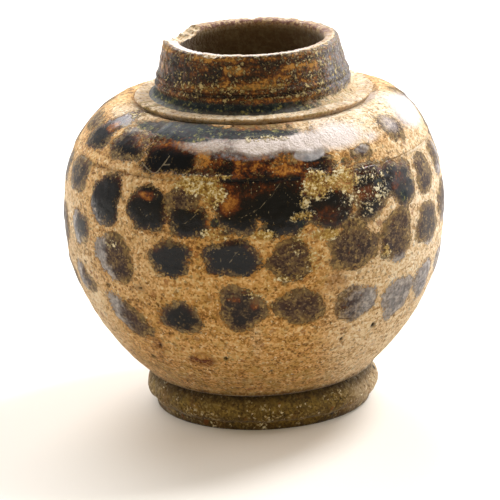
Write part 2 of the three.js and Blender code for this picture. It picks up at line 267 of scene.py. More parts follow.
CRUST = [
    (-17, 47, 9, 1.7, 1), (-11.5, 45.6, 4, 2, 0.9), (-9.5, 48.3, 6, 0.35, 0.8),
    (-13, 44.6, 3.5, 1.6, 0.6), (20, 46.4, 5.2, 2.6, 1), (28, 46.3, 8, 2.4, 0.8),
    (38, 45.8, 12, 2.4, 0.4), (35, 42.6, 11, 3.2, 0.38), (15, 44.4, 2.4, 2, 0.6),
    (14.5, 41.6, 4.5, 1, 0.8), (2.6, 39, 4, 1, 0.9), (21, 38.2, 6, 1.1, 0.9), (-12, 39.5, 5, 0.9, 0.7),
    (-10, 38.8, 3, 0.6, 0.7), (13, 37.2, 3, 2.4, 0.5), (17, 34, 3, 2.2, 0.6), (9, 31.4, 5, 0.8, 0.6),
    (-1, 29, 4, 0.9, 0.5), (41.9, 33.2, 2.6, 1.3, 0.7), (-46, 35.6, 4, 1, 0.4), (3, 53.4, 12, 0.4, 0.5),
    (-62, 55, 9, 0.8, 0.6), (126, 47.2, 9, 1, 0.5), (168, 49.2, 10, 0.9, 0.5), (208, 48.4, 8, 1.1, 0.55),
    (244, 44.8, 8, 1, 0.5),
]
TEAL = [
    (-30, 54.1, 25, 0.75, 1.3), (-2, 53.9, 20, 0.6, 1.1), (-26, 53.3, 12, 0.5, 0.7),
    (31, 48.9, 2.5, 0.9, 0.5), (50.5, 41.4, 1.8, 1.3, 0.7), (-9, 39.6, 2.2, 0.6, 0.7),
    (-11.6, 41.2, 1.4, 0.9, 1), (13.4, 41, 1.4, 1.6, 0.7), (41, 44.8, 2.4, 0.7, 0.9),
]
# Painted highlight: a pale lavender-white sheen drawn on the shoulder's glaze, where it would mirror the
# overhead light
PAINTED_SHEEN = [
    (-16, 52.7, 16, 1.5, 0.9), (2, 52.75, 16, 1.7, 1.5), (18, 52.65, 15, 1.8, 1.5),
    (31, 52.8, 16, 2.4, 1.45), (45, 51.7, 6, 1.4, 0.8), (57.5, 52.4, 7, 2, 0.7), (79, 52.2, 18, 3.2, 1.7),
    (80, 51.2, 8, 1.4, 0.6),
]
# Painted reflection: pale blue-grey patches on the glaze
REFLECTION_PATCHES = [(18.5, 51, 5.5, 1.1, 1.8), (38, 50.4, 4, 1, 0.5), (-2, 51.4, 14, 1, 0.5)]
# Paler clay: partly its own colour, partly painted light on the lit sides and the top of the shoulder
PALE_AND_LIT = [
    (48, 53.8, 44, 1.5, 1.2), (78, 53.6, 22, 1.6, 0.6), (40, 52.6, 22, 2, 0.8), (-64, 54.4, 20, 1, 0.8),
    (-52, 53.6, 10, 0.7, 0.6), (74, 27, 44, 30, 0.95), (-80, 27, 30, 20, 0.82), (-45, 38, 22, 14, 0.3),
    (44, 24, 24, 20, 0.8), (54, 38, 20, 10, 0.5), (-1, 20, 2.2, 4, 0.3),
]
STAIN = [
    (-20.5, 15.35, 4.6, 1.6, 1.3), (-36.8, 28.75, 3, 0.8, 0.5), (23.8, 29.45, 4, 1.8, 0.5),
    (17, 27.85, 3, 1.4, 0.4), (-36.6, 17.65, 2.2, 1.7, 1.2), (-24.6, 15.25, 2.4, 1, 1.2),
    (-14.5, 28.05, 1.6, 0.7, 0.6), (60, 20.95, 3, 0.8, 0.4),
]

# Pits: azimuth, height, size and depth
PITS = [
    (-50.9, 27.75, 0.55, 0.6), (-36.8, 28.75, 0.4, 0.2), (-43.6, 14.05, 0.6, 0.5),
    (-36.2, 17.45, 0.5, 0.4), (-62, 30.45, 0.4, 0.3), (28.5, 18.05, 0.5, 0.4), (40.6, 19.45, 0.6, 0.45),
    (-12, 15.95, 0.45, 0.35), (4, 12.85, 0.4, 0.3), (112, 30.45, 0.6, 0.5), (150, 20.95, 0.7, 0.5),
    (176, 29.85, 0.45, 0.4), (205, 15.05, 0.6, 0.5), (238, 27.65, 0.5, 0.45), (258, 18.65, 0.55, 0.4),
]

# Pale cracks in the glaze, as points of azimuth and height
VEINS = [
    [(-39.2, 49.55), (-36.4, 48.85), (-34, 48.35)],
    [(-34.2, 47.65), (-32, 48.55), (-30.6, 49.85), (-29.6, 50.95)],
    [(-30.8, 49.65), (-28.4, 49.75)],
]
HAIRLINES = [
    [(-14.6, 36.9), (-10.8, 37.1), (-6, 36.4), (-2.2, 35)],
    [(-10.4, 38.4), (-10.6, 36), (-9.6, 33.4), (-8.2, 32.2)],
    [(-8, 34.2), (-6.4, 35.6), (-4.8, 36.6)],
    [(-14, 35.6), (-11.8, 36.4)],
    [(-36, 42.8), (-33.8, 41.4), (-31, 42.4)],
    [(-24, 40.6), (-20.4, 41), (-17.8, 42.2), (-15.2, 43.4)],
    [(-4, 42), (1.4, 43.4), (5.6, 45.4), (8.4, 47.4)],
    [(-0.6, 46.6), (-1, 44.2), (0.8, 42.2)],
    [(4, 43), (5.6, 40.8)],
    [(8, 46.6), (11.2, 44.6), (12.8, 43.2)],
    [(10, 35.6), (9.4, 33.2)],
    [(-24, 25.2), (-21.8, 24.2), (-20.6, 22.8)],
    [(28, 36), (30.6, 34.6), (31.4, 32.8)],
]

# What every point of a mesh tells the material: edge is the distance inside the glaze's outline and vein the
# distance from a crack, both in mm, tone is the glaze's depth, and the rest are strengths of a mark, among
# them a painted highlight, a painted reflection, painted light on pale clay and painted shade in recesses
FIELDS = "edge tone mottle worn dust crust teal sheen pale stain pit olive vein groove inside".split()


def marks(azimuth, **given):
    """Every field of a piece, at 0 where none is given."""
    return {name: np.zeros(azimuth.shape) + given.get(name, 0) for name in FIELDS}


def all_dabs():
    """Every dab: those that show, and unseen ones at each row's own pitch round the back."""
    dabs = []
    for row, seen in DABS_SEEN.items():
        dabs += seen
        first = seen[0][0] + 360
        last = seen[-1][0]
        gaps = round((first - last) / ROW_PITCH[row])
        for step in range(1, gaps):
            like = seen[chance.integers(len(seen))]
            azimuth = last + (first - last) * step / gaps + chance.uniform(-1.2, 1.2)
            level = (seen[0][1] + seen[-1][1]) / 2 + chance.uniform(-0.8, 0.8)
            wide = (like[2] + 7) / 2
            tall = (like[3] + seen[-1][3]) / 2
            dabs.append((azimuth, level, wide, tall, chance.uniform(-12, 12), like[5], like[6]))
    return [(*dab, chance.uniform(0, 6.28, 3)) for dab in dabs]


DABS = all_dabs()


def dab_fields(at):
    """Distance in mm inside the nearest dab, its wear, and the place on it, up and outwards."""
    azimuth, height = at
    inside = np.full(azimuth.shape, OUTSIDE_ALL)
    wear = np.zeros(azimuth.shape)
    share = np.zeros(azimuth.shape)
    outer = np.zeros(azimuth.shape)
    for centre, level, wide, tall, tilt, square, worn, phases in DABS:
        near = (np.abs(wrapped(azimuth - centre)) < 22) & (np.abs(height - level) < 9)
        if not near.any():
            continue
        across = np.radians(wrapped(azimuth[near] - centre)) * wall_radius(level)
        up = height[near] - level
        turn = math.radians(tilt)
        along = across * math.cos(turn) + up * math.sin(turn)
        over = up * math.cos(turn) - across * math.sin(turn)
        angle = np.arctan2(over / tall, along / wide)
        reach = (np.abs(2 * along / wide) ** square + np.abs(2 * over / tall) ** square) ** (1 / square)
        waves = zip((0.07, 0.07, 0.05), (2, 3, 5), phases)
        uneven = sum((size * np.sin(lobes * angle + phase) for size, lobes, phase in waves), 1)
        depth = (uneven - reach) * min(wide, tall) / 2
        better = depth > inside[near]
        spots = np.flatnonzero(near)[better]
        inside.flat[spots] = depth[better]
        wear.flat[spots] = worn
        share.flat[spots] = (2 * over / tall)[better]
        outer.flat[spots] = (2 * along / wide)[better] * (1 if wrapped(centre) > 0 else -1)
    return inside, wear, share, outer


def oval(at, centre, level, wide, tall):
    """0 at the centre of an oval and 1 on its outline."""
    across = wrapped(at[0] - centre) / wide
    up = (at[1] - level) / tall
    return np.sqrt(across * across + up * up)


def patch_depth(at, patches):
    """Distance in mm inside the nearest of some oval patches."""
    inside = np.full(at[0].shape, OUTSIDE_ALL)
    for patch in patches:
        inside = np.maximum(inside, (1 - oval(at, *patch)) * min(patch[3], patch[2] * 0.5))
    return inside


def painted(at, patches, soft=0.6):
    """Strength of soft oval patches, 1 at the heart of a full one."""
    total = np.zeros(at[0].shape)
    for centre, level, wide, tall, strength in patches:
        reach = oval(at, centre, level, PATCH_MARGIN * wide, PATCH_MARGIN * tall)
        total = np.maximum(total, strength * smooth(1 - reach, 0, soft))
    return total


def line_distance(at, lines):
    """Distance in mm to the nearest of some lines drawn on the wall."""
    azimuth, height = at
    nearest = np.full(azimuth.shape, FAR_FROM_LINES)
    for line in lines:
        for (first, low), (second, high) in zip(line, line[1:]):
            scale = math.radians(1) * wall_radius(low)
            ax = first * scale
            bx = second * scale
            px = azimuth * scale
            length = (bx - ax) ** 2 + (high - low) ** 2
            share = np.clip(((px - ax) * (bx - ax) + (height - low) * (high - low)) / length, 0, 1)
            gap = np.hypot(px - ax - share * (bx - ax), height - low - share * (high - low))
            nearest = np.minimum(nearest, gap)
    return nearest


def seam_step(at):
    """The luted seam: how proud the wall stands over it and how deep its line is cut, each from 0 to 1."""
    azimuth, height = at
    level = height - SEAM_HEIGHT - 0.35 * np.sin(np.radians(azimuth * 2 + 100))
    level += 0.4 * bell(wrapped(azimuth) - 30, 13)
    firm = 0.7 + 0.3 * noise(at, 9, 6, 41)
    firm *= 1 - 0.8 * smooth(np.abs(wrapped(azimuth + 84)), 26, 12)
    return firm * bell(level - 0.5, 0.45), firm * bell(level + 0.05, 0.3)


def body_fields(at, outside):
    """Every mark on the body, as one smooth field each, over a profile whose first rows lie outside."""
    azimuth, height = at
    shifted = height + 0.15 * noise(at, 4, 9, 43)
    stir = layered(at, (0.5, 2.2, 2.2, 21), (0.35, 1.1, 1.1, 22))
    dab, wear, share, outer = dab_fields(at)
    flood = patch_depth(at, FLOOD + BACK_FLOOD)
    edge = np.maximum(dab + 0.6 * stir, flood + 0.9 * stir)
    in_flood = smooth(flood, -0.4, 1.2)
    own = 0.6 + 0.48 * smooth(dab, 0, 1.6) - (0.12 + 0.3 * wear) * smooth(share, -0.9, 0.9)
    pooled = 0.5 + 0.24 * smooth(height, 48, 43.5) - 0.05 * smooth(height, 50, 52)
    tone = own + (pooled - own) * in_flood
    tone = tone + 0.5 * painted(at, DARK) - 0.75 * painted(at, THIN)
    cut = seam_step(at)[1]
    vein = line_distance(at, VEINS)
    hairline = line_distance(at, HAIRLINES) + 0.04
    glazed_wear = wear * (1 - in_flood)
    # Painted reflection: pale blue-grey on the outer and lower sides of the far dabs and on the lower rows
    aside = np.maximum(smooth(outer, -0.1, 0.9), smooth(-share, -0.1, 0.9))
    low = smooth(height, 33, 29) * (0.2 + 0.8 * smooth(azimuth, 14, 40))
    right_reflection = smooth(azimuth, 24, 60) * (0.3 + 0.75 * aside) * (0.3 + low + 0.8 * smooth(azimuth, 70, 80))
    left_reflection = (0.3 + 1.2 * aside * smooth(outer, -0.5, 0.5)) * smooth(height, 45, 40)
    left_reflection *= smooth(-azimuth, 32, 58)
    painted_reflection = (right_reflection + 0.8 * low + left_reflection) * (1 - in_flood) * smooth(np.abs(azimuth), 110, 80)
    fields = marks(
        azimuth,
        edge=edge,
        tone=tone + 0.3 * cut * in_flood,
        mottle=np.clip(0.12 + 0.75 * glazed_wear + 0.35 * in_flood * smooth(height, 44, 50), 0, 1),
        worn=glazed_wear,
        dust=np.minimum((0.35 + 0.45 * glazed_wear) * painted_reflection, 0.68) + painted(at, REFLECTION_PATCHES),
        crust=painted(at, CRUST),
        teal=painted(at, TEAL),
        # painted highlight on the shoulder's glaze
        sheen=painted((azimuth, shifted), PAINTED_SHEEN, 0.95),
        # paler clay, partly painted light
        pale=painted(at, PALE_AND_LIT),
        stain=painted(at, STAIN),
        pit=pit_depth(at)[1],
        olive=smooth(height, 17, 8) * (0.7 + 0.3 * stir),
        vein=np.minimum(vein, hairline),
        groove=0.5 * cut,
    )
    fields["inside"][outside:] = 1
    fields["edge"][outside:] = OUTSIDE_ALL
    return fields


def pit_depth(at):
    """How deep the pits go in mm, and how dark they are."""
    azimuth, height = at
    deep = np.zeros(azimuth.shape)
    dark = np.zeros(azimuth.shape)
    for centre, level, size, depth in PITS:
        across = np.radians(wrapped(azimuth - centre)) * wall_radius(level)
        reach = np.hypot(across, height - level) / (0.75 * size)
        reach *= 1 + 0.25 * noise(at, 1.2, 1.2, 31)
        deep = np.maximum(deep, depth * smooth(reach, 1.2, 0.3))
        dark = np.maximum(dark, smooth(reach, 1.3, 0.6))
    return deep, dark


def hand_relief(at):
    """Unevenness of the thrown and weathered wall, in mm."""
    broad = layered(at, (0.16, 32, 12, 1), (0.08, 9, 5, 2))
    return broad + layered(at, (0.07, 60, 1.5, 3), (0.04, 20, 0.9, 4), (0.035, 0.9, 0.8, 5))


def body_relief(at, fields):
    """How far the finished skin stands off the turned wall, in mm."""
    glazed = smooth(fields["edge"], -0.4, 1.2)
    proud, cut = seam_step(at)
    crumbs = fields["crust"] * (0.08 + 0.14 * noise(at, 0.8, 0.8, 6))
    raised = hand_relief(at) + DAB_SWELL * glazed + crumbs + SEAM_SWELL * proud
    return raised - SEAM_DEPTH * cut * (1 - 0.75 * glazed) - pit_depth(at)[0]


# Meshes


def added(name, data):
    """A new object in the scene."""
    item = bpy.data.objects.new(name, data)
    scene.collection.objects.link(item)
    return item


def spaced(points, spacing):
    """A profile's points at even spacing, keeping its own corners."""
    result = [points[0]]
    for (r0, z0), (r1, z1) in zip(points, points[1:]):
        steps = max(1, round(math.hypot(r1 - r0, z1 - z0) / spacing))
        result += list(zip(np.linspace(r0, r1, steps + 1), np.linspace(z0, z1, steps + 1)))[1:]
    return result


def arc(radius, height, wide, tall, start, end, count):
    """Points on an oval arc round a centre, ends included, with angles in degrees."""
    turns = np.radians(np.linspace(start, end, count))
    return list(zip(radius + wide * np.cos(turns), height + tall * np.sin(turns)))


def curve(radius_at, start, end, count):
    """Points of a wall curve between two heights, spread evenly along its length."""
    heights = np.linspace(start, end, 2000)
    radii = radius_at(heights)
    travel = np.concatenate([[0], np.cumsum(np.hypot(np.diff(radii), np.diff(heights)))])
    even = np.interp(np.linspace(0, travel[-1], count + 1), travel, heights)
    return list(zip(radius_at(even).tolist(), even.tolist()))


def normals_of(profile, closed):
    """Outward direction of the profile at each of its points."""
    points = np.array(profile, dtype=float)
    if closed:
        step = np.roll(points, -1, axis=0) - np.roll(points, 1, axis=0)
    else:
        step = np.gradient(points, axis=0)
    length = np.maximum(np.hypot(step[:, 0], step[:, 1]), 1e-9)
    return step[:, 1] / length, -step[:, 0] / length


def revolve(name, profile, skin, columns, closed, finish, broken=None):
    """Closed mesh of a hand-finished turned piece.

    profile is a list of (radius, height), up the outside and down the inside. skin says how much of the
    relief each point takes. finish gives the fields and the relief for a place and its radius, and broken
    changes places and fields once the relief is in.
    """
    radii, heights = np.array(profile, dtype=float).T
    across, up = normals_of(profile, closed)
    azimuth, height = np.meshgrid(np.linspace(-180, 180, columns, endpoint=False), heights)
    radius = radii[:, None] + np.zeros(azimuth.shape)
    fields, relief = finish((azimuth, height), radius)
    relief = relief * np.array(skin)[:, None]
    radius = np.maximum(radius + across[:, None] * relief, 0)
    height = np.maximum(height + up[:, None] * relief, 0)
    turn = np.radians(azimuth)
    lean = np.interp(height, LEAN_HEIGHTS, LEAN_OFFSETS)
    place = np.stack([radius * np.sin(turn) + lean, -radius * np.cos(turn), height], axis=-1)
    if broken:
        place, fields = broken(place, azimuth, fields)
    rows = len(radii)
    index = np.arange(rows * columns).reshape(rows, columns)
    upper = np.roll(index, -1, axis=0) if closed else index[1:]
    lower = index if closed else index[:-1]
    right = np.roll(lower, -1, axis=1)
    upper_right = np.roll(upper, -1, axis=1)
    faces = np.stack([lower, right, upper_right, upper], axis=-1).reshape(-1, 4)
    mesh = bpy.data.meshes.new(name)
    corners = faces.reshape(-1)
    mesh.vertices.add(rows * columns)
    mesh.vertices.foreach_set("co", (place.reshape(-1) * MM).astype(np.float32))
    mesh.loops.add(len(corners))
    mesh.loops.foreach_set("vertex_index", corners.astype(np.int32))
    mesh.polygons.add(len(faces))
    mesh.polygons.foreach_set("loop_start", np.arange(0, len(corners), 4, dtype=np.int32))
    mesh.update(calc_edges=True)
    for key, values in fields.items():
        layer = mesh.attributes.new(key, "FLOAT", "POINT")
        layer.data.foreach_set("value", values.reshape(-1).astype(np.float32))
    if not closed:
        close_poles(mesh, columns)
    mesh.shade_smooth()
    mesh.validate()
    return added(name, mesh)


def close_poles(mesh, columns):
    """Fills the two small rings at the ends of an open profile with one face each."""
    work = bmesh.new()
    work.from_mesh(mesh)
    corners = list(work.verts)
    for ring in (corners[:columns][::-1], corners[-columns:]):
        work.faces.new(ring).smooth = True
    work.to_mesh(mesh)
    work.free()


def make_bowl():
    """Floor, belly and lower wall, up to the ring line."""
    wall = curve(wall_radius, LIP_HEIGHT, SEAM_HEIGHT, BOWL_ROWS)
    bore = curve(bore_radius, SEAM_HEIGHT, INNER_FLOOR, 14)
    profile = (
        [(POLE_RADIUS, FOOT_HEIGHT), (GROOVE_RADIUS - 0.6, FOOT_HEIGHT), (GROOVE_RADIUS, FOOT_HEIGHT)]
        + [(GROOVE_RADIUS + 0.6, FOOT_HEIGHT + 0.1), (LIP_RADIUS - 0.6, FOOT_HEIGHT + 0.45)]
        + [(LIP_RADIUS - 0.15, FOOT_HEIGHT + 0.8)]
        + wall
        + [(wall[-1][0] - 0.5, SEAM_HEIGHT), (bore[0][0] + 0.5, SEAM_HEIGHT)]
        + bore
        + [(MIDWAY_RADIUS, INNER_FLOOR), (POLE_RADIUS, INNER_FLOOR)]
    )
    outside = 6 + len(wall)
    skin = [0, 0, 0, 0.4, 0.8, 1] + [1] * len(wall) + [0] * (len(profile) - outside)

    def finish(at, radius):
        fields = body_fields(at, outside)
        # Painted shade in the recess above the foot
        fields["groove"] += smooth(at[1], LIP_HEIGHT + 0.6, FOOT_HEIGHT + 0.4)
        return fields, body_relief(at, fields)

    return revolve("jar_bowl", profile, skin, SKIN_COLUMNS, False, finish)


def make_shoulder():
    """Closing dome from the ring line to the land under the neck."""
    wall = curve(wall_radius, SEAM_HEIGHT, SHOULDER_HEIGHT, SHOULDER_ROWS)
    bore = curve(bore_radius, INNER_TOP, SEAM_HEIGHT, 8)
    profile = (
        wall
        + [(SHOULDER_RADIUS - 0.5, SHOULDER_HEIGHT - 0.2), (SHOULDER_RADIUS - 0.9, NECK_SEAT + 0.2)]
        + [(NECK_BORE + 3, NECK_SEAT), (NECK_BORE, NECK_SEAT)]
        + bore
        + [(bore[-1][0] + 1.5, SEAM_HEIGHT)]
    )
    outside = len(wall) + 2
    skin = [1] * len(wall) + [0.6] + [0] * (len(profile) - len(wall) - 1)

    def finish(at, radius):
        fields = body_fields(at, outside)
        level = at[1] + 0.25 * noise(at, 1.8, 9, 42)
        # Painted shade on the shoulder under the ledge's lip
        shadow = smooth(radius, SHOULDER_RADIUS + 0.5, SHOULDER_RADIUS - 0.4)
        shadow *= smooth(level, SHOULDER_HEIGHT - 0.6, SHOULDER_HEIGHT - 0.1)
        fields["groove"] = np.maximum(fields["groove"], 0.35 * shadow)
        return fields, body_relief(at, fields)

    return revolve("jar_shoulder", profile, skin, SHOULDER_COLUMNS, True, finish)


def foot_marks(at, radius):
    """Fields and relief of the foot."""
    azimuth, height = at
    right = facing(azimuth, 95, 0.55, 0.95)
    relief = layered(at, (0.22, 22, 6, 51), (0.12, 5, 2.2, 52), (0.08, 1.4, 1.2, 53))
    relief -= 0.5 * right * smooth(height, 3.2, 5.2)
    fields = marks(
        azimuth,
        edge=OUTSIDE_ALL,
        vein=FAR_FROM_LINES,
        crust=0.35 * smooth(noise(at, 4, 2, 54), 0.3, 0.8),
        pale=0.5 * right + 0.1 * facing(azimuth, -80, 0.8, 1),
        stain=0.4 * smooth(noise(at, 7, 3, 55), 0.1, 0.8),
        pit=smooth(noise(at, 2.4, 1.6, 56), 0.74, 0.92),
        olive=0.4 + 0.5 * smooth(height, 2.4, 4.6) + 0.25 * noise(at, 9, 3, 57),
        # painted shade under the body at the foot's top, and along its bottom edge by the floor
        groove=0.9 * smooth(height, 4.2, 6) + 0.75 * smooth(height, 1.6, 0.2),
    )
    return fields, relief


def make_foot():
    """Bevelled disc with its worn, uneven edge."""
    corners = [(FOOT_BASE_RADIUS, 0), (FOOT_BASE_RADIUS + 0.3, 1.4)]
    corners += [(FOOT_RADIUS - 0.4, 2.1), (FOOT_RADIUS, FOOT_WIDEST)]
    edge = spaced(corners, 0.3)
    turns = np.radians(np.linspace(0, 90, 15)[1:])
    radii = FOOT_RADIUS - (FOOT_RADIUS - GROOVE_RADIUS) * (1 - np.cos(turns)) ** 0.85
    rounded = list(zip(radii, FOOT_WIDEST + (FOOT_HEIGHT - FOOT_WIDEST) * np.sin(turns)))
    base = [(radius, 0) for radius in (POLE_RADIUS, MIDWAY_RADIUS, 17, 18.3)]
    top = [(radius, FOOT_HEIGHT) for radius in (GROOVE_RADIUS - 0.6, MIDWAY_RADIUS, POLE_RADIUS)]
    profile = base + edge + rounded + top
    skin = [0, 0, 0, 0.2, 0.3, 0.7] + [1] * (len(edge) + len(rounded) - 4) + [0.4, 0] + [0] * len(top)
    return revolve("jar_foot", profile, skin, SKIN_COLUMNS, False, foot_marks)


def neck_radius(height):
    """Outer radius of the neck's cone with its wheel ridges, and the flare onto the ledge."""
    share = (height - LEDGE_TOP) / (RIM_HEIGHT - LEDGE_TOP)
    radius = NECK_ROOT + (RIM_RADIUS - NECK_ROOT) * share
    for ridge in RIDGE_HEIGHTS:
        radius += RIDGE_SWELL * bell(height - ridge, RIDGE_HALF_WIDTH)
    radius -= RIDGE_GROOVE * bell(height - sum(RIDGE_HEIGHTS) / 2, 0.22)
    flare = np.clip(1 - (height - LEDGE_TOP) / 1.1, 0, 1)
    return radius + 0.9 * flare**2.2


# Marks on the neck: azimuth, height, half width in degrees, half height in mm, strength
NECK_OCHRE = [
    (-11, 62.7, 8, 0.9, 1), (-34, 59.7, 16, 0.4, 0.6), (2, 60, 26, 0.5, 0.7), (14, 61, 14, 0.6, 0.5),
    (34, 62.9, 14, 0.5, 0.4),
]
NECK_DARK = [
    (-42, 61.2, 22, 1.6, 0.9), (-24, 62.2, 6, 1, 0.5), (4, 62.6, 6, 0.7, 0.5), (0, 58.5, 50, 0.35, 0.6),
    (22, 60.4, 12, 0.4, 0.4),
]
LEDGE_DIRT = [(-62, 55.4, 13, 1.2, 1), (-10, 55.4, 7, 0.5, 0.5), (30, 55.3, 10, 0.6, 0.6)]


def neck_marks(at, radius, ledge_rows, outer_rows, rim_rows):
    """Fields and relief of the neck, from how many rows lie on the ledge, outside and on the rim."""
    azimuth, height = at
    stir = layered(at, (0.5, 2.4, 1.6, 61), (0.35, 1.1, 0.9, 62))
    row = np.arange(height.shape[0])[:, None] + np.zeros(azimuth.shape)
    on_ledge = row < ledge_rows
    on_wall = (row < outer_rows) & ~on_ledge
    rim_share = (row - outer_rows) / rim_rows
    within = smooth(rim_share, 0.75, 1.05)
    right = facing(azimuth, 82, 0.3, 0.95)
    left = facing(azimuth, -86, 0.55, 0.95)
    front = facing(azimuth, -5, 0.3, 0.8)
    back = facing(azimuth, 0, 0.2, -0.4)
    uneven = noise(at, 14, 30, 67)
    root_gap = 0.6 + 0.9 * right + 0.25 * uneven
    wearing = (RIM_HEIGHT + 0.1 - height) * 2 - 0.5 * smooth(noise(at, 9, 30, 68), 0.2, 0.9)
    wearing = np.minimum(wearing, (height - LEDGE_TOP - root_gap) * 1.6 + 0.3)
    pooled = (POOL_RADIUS - radius + 0.5 * uneven) * 1.4 + 0.5 * stir
    edge = np.where(on_ledge, pooled, wearing + 0.5 * stir)
    edge = np.where(row >= outer_rows, -2, edge)
    ridges = sum(bell(height - ridge - 0.12, 0.24) for ridge in RIDGE_HEIGHTS)
    root = smooth(height, LEDGE_TOP + 2, LEDGE_TOP + 0.7) * on_wall * (1 - 0.85 * right)
    ochre = painted(at, NECK_OCHRE)
    tone = 0.56 + 0.44 * root + 0.2 * noise(at, 7, 2.6, 63)
    tone = tone + 0.14 * noise(at, 30, 0.9, 64) + 0.3 * painted(at, NECK_DARK)
    rim_line = bell(height - RIM_HEIGHT + 0.6, 0.35) * on_wall
    torn = layered(at, (0.3, 2.6, 30, 69), (0.15, 0.9, 30, 70))
    # Painted shade on the underside of the ledge's lip
    under = smooth(height + torn, LEDGE_TOP - 0.42, LEDGE_TOP - 0.62) * on_ledge
    lip_edge = smooth(height + torn, LEDGE_TOP + 0.1, LEDGE_TOP - 0.2) * on_ledge
    bands = 0.5 * ridges * front + 0.35 * smooth(height, 59.3, 59.7) * smooth(height, 61, 60.2) * front
    on_land = (row >= outer_rows) * (1 - within)
    browned = smooth(rim_share, -0.05, 0.3) * (1 - smooth(rim_share, 0.8, 1)) + 0.6 * back * on_land
    crust = 0.6 * bands + 0.2 * ochre + 0.12 * right + 0.2 * (1 - root)
    fields = marks(
        azimuth,
        edge=edge,
        tone=np.where(on_ledge, 1.05, tone - 0.5 * ochre - 0.35 * rim_line),
        mottle=np.clip(0.6 + 0.3 * right - 0.5 * root, 0, 1) * on_wall,
        worn=np.clip(0.15 * right + 0.2 * left, 0, 1) * on_wall * (1 - root),
        dust=np.clip(0.54 * right**3 + 0.05 * left, 0, 1) * (1 - 0.5 * root) * on_wall,
        crust=crust * on_wall + painted(at, LEDGE_DIRT) * lip_edge,
        teal=1.2 * (root + on_ledge * smooth(edge, -0.5, 0.7)),
        # painted highlight on the rim's land, strongest at the front and left
        sheen=on_land * (0.3 + 0.3 * front + 0.4 * left),
        pale=np.where(on_ledge, 0.85 + 0.5 * right, 0.4) + on_land * (0.6 - 0.55 * back),
        stain=0.6 * rim_line + 0.75 * browned + 0.45 * lip_edge,
        pit=painted(at, [(-88, 61.8, 2.2, 0.5, 1)]),
        olive=0.35 * smooth(noise(at, 6, 2, 66), 0, 0.8) + 0.5 * on_ledge * smooth(edge, -2.4, -0.4),
        vein=FAR_FROM_LINES,
        groove=0.25 * under,
        inside=within,
    )
    relief = layered(at, (0.1, 24, 9, 71), (0.05, 40, 0.8, 72), (0.06, 3.2, 2, 73), (0.05, 0.9, 0.7, 74))
    relief += 0.08 * smooth(edge, -0.2, 0.6) * (row < outer_rows)
    return fields, relief * np.where(row >= outer_rows + rim_rows, 0.5, 1)


def make_neck():
    """Ledge, ridged cone and rim."""
    lip = [(LEDGE_RADIUS - 1, NECK_SEAT), (LEDGE_RADIUS - 0.62, NECK_SEAT + 0.22)]
    lip += [(LEDGE_RADIUS - 0.4, NECK_SEAT + 0.5), (LEDGE_RADIUS - 0.16, NECK_SEAT + 0.8)]
    lip += arc(LEDGE_RADIUS - LIP_ROUND, LEDGE_TOP - LIP_ROUND, LIP_ROUND, LIP_ROUND, -18, 90, 10)
    cone = curve(neck_radius, LEDGE_TOP, RIM_HEIGHT - RIM_ROUND, CONE_ROWS)
    rim = arc(RIM_RADIUS - RIM_ROUND, RIM_HEIGHT - RIM_ROUND, RIM_ROUND, RIM_ROUND, 0, 90, 8)[1:]
    bevel_radius = RIM_BORE + RIM_BEVEL_WIDTH
    bevel_top = RIM_HEIGHT - 0.03
    land = spaced([rim[-1], (bevel_radius, bevel_top)], 0.16)[1:]
    land += arc(bevel_radius, bevel_top - RIM_BEVEL_DEPTH, RIM_BEVEL_WIDTH, RIM_BEVEL_DEPTH, 90, 180, 7)[1:]
    ledge = spaced([lip[-1], cone[0]], 0.17)[1:-1]
    bore = spaced([land[-1], (NECK_BORE, NECK_SEAT)], 0.6)[1:]
    seat = [(NECK_BORE + 3, NECK_SEAT), (LEDGE_RADIUS - 1.6, NECK_SEAT)]
    profile = lip + ledge + cone + rim + land + bore + seat
    outer = len(lip) + len(ledge) + len(cone) + len(rim)
    skin = [0, 0.3, 0.7] + [1] * (outer + len(land) - 3) + [1] * len(bore) + [0] * len(seat)
    skin[-len(seat) - 1] = 0

    def finish(at, radius):
        return neck_marks(at, radius, len(lip) + len(ledge), outer, len(land))

    return revolve("jar_neck", profile, skin, NECK_COLUMNS, True, finish, broken_rim)


# Losses from the rim: azimuth, length along the rim, reach across it, depth, and how far out its centre lies
RIM_LOSSES = [
    (CHIP_AZIMUTH, CHIP_LENGTH, CHIP_REACH, CHIP_DEPTH, 13.75),
    (CHIP_AZIMUTH - 15, 3.6, 5, 0.9, 13.2),
    (-93, 3.4, 4, 0.5, 13.2), (-27, 4.4, 1.5, 0.55, 15.1), (-20, 2, 1, 0.35, 15.1),
    (178, 1.8, 2.4, 0.3, 14.6), (142, 1.6, 2, 0.28, 14.6), (60, 1.4, 1.2, 0.25, 14.9),
    (205, 2.4, 1.4, 0.25, 14.9),
]


